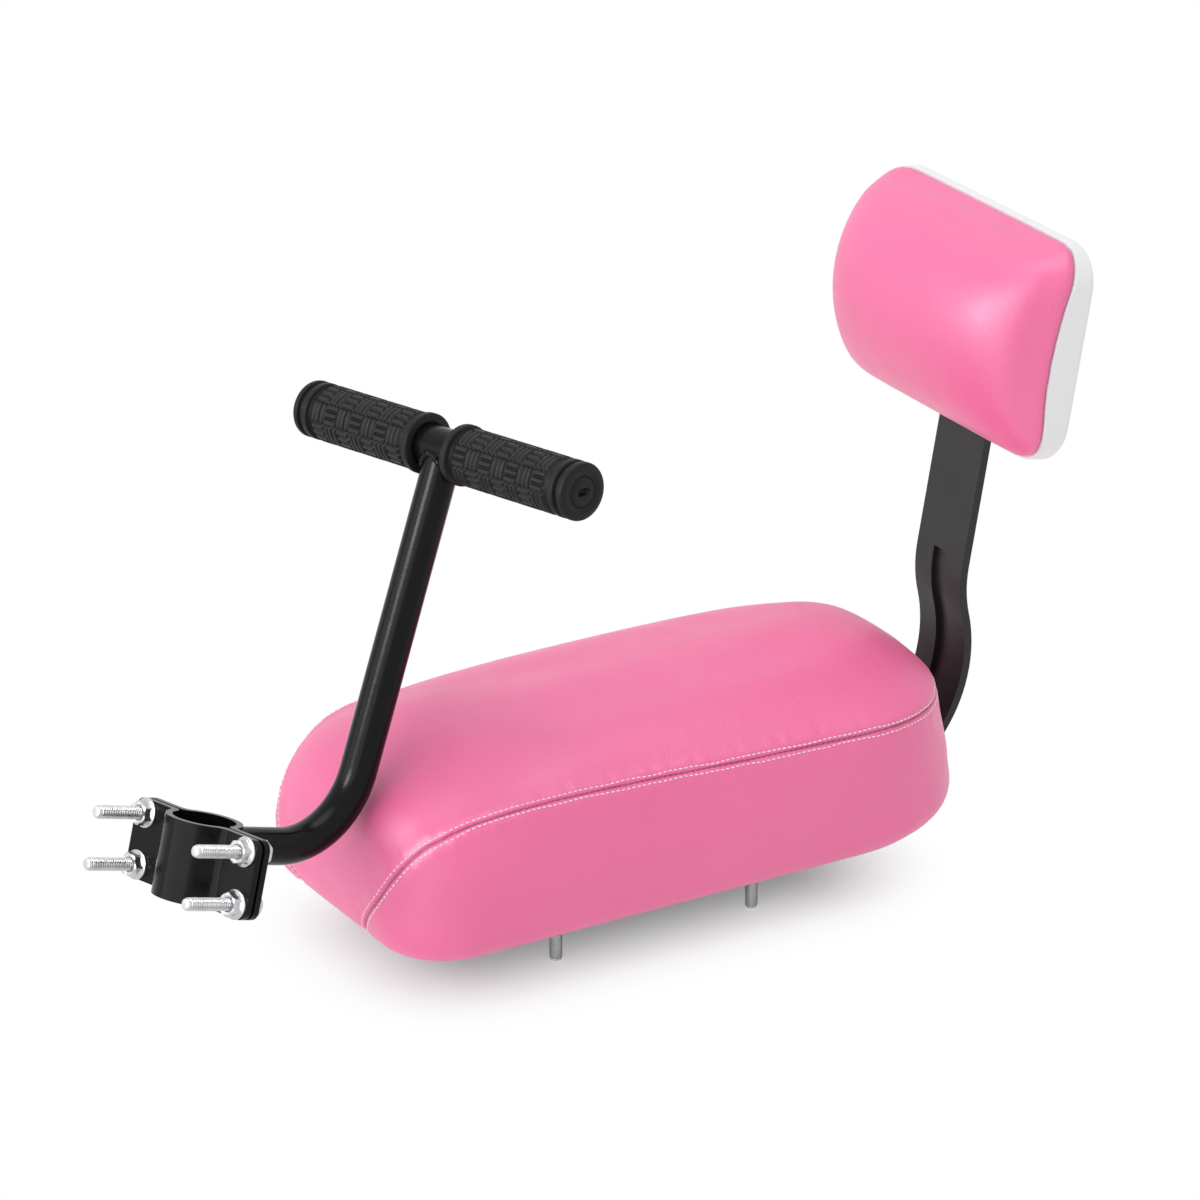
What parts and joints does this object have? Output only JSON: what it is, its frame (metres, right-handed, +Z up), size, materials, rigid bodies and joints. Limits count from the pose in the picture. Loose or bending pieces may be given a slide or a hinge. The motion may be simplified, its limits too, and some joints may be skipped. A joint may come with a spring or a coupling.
{
  "type": "rear rack cushion seat",
  "caption": "Padded passenger seat for a bicycle's rear rack, with a backrest on a bent steel strap and a grab handle that clamps to the seat post.",
  "frame": {"origin": "centre of the rack studs' pattern, on the underside of the seat pan", "axes": "+X from the nose to the backrest, +Y to the far side in the picture, +Z up"},
  "size_m": [0.4909, 0.1812, 0.3047],
  "materials": {
    "cover": "soft semi-matte coated cover, sewn with pale thread",
    "pan": "moulded, fine texture",
    "shell": "white moulded plastic, soft gloss",
    "black_steel": "black powder coat, semi-gloss",
    "zinc": "bright zinc plate",
    "rubber": "matte black rubber"
  },
  "bodies": {
    "root": {"seat_cushion": "cover", "seat_pan": "pan", "rack_stud_1": "zinc", "rack_stud_2": "zinc", "rack_stud_3": "zinc", "rack_stud_4": "zinc", "strap_bolt_1": "zinc", "strap_nut_1": "zinc", "strap_bolt_2": "zinc", "strap_nut_2": "zinc", "backrest_strap": "black_steel", "backrest_shell": "shell", "backrest_pad": "cover", "backrest_bolt_1": "zinc", "backrest_bolt_2": "zinc", "clamp_rear_plate": "black_steel", "clamp_front_plate": "black_steel", "handle_tube": "black_steel", "handle_crossbar": "black_steel", "grip_far": "rubber", "grip_near": "rubber", "clamp_bolt_1": "zinc", "clamp_nut_1": "zinc", "clamp_bolt_2": "zinc", "clamp_nut_2": "zinc", "clamp_bolt_3": "zinc", "clamp_nut_3": "zinc", "clamp_bolt_4": "zinc", "clamp_nut_4": "zinc"}
  },
  "joints": []
}
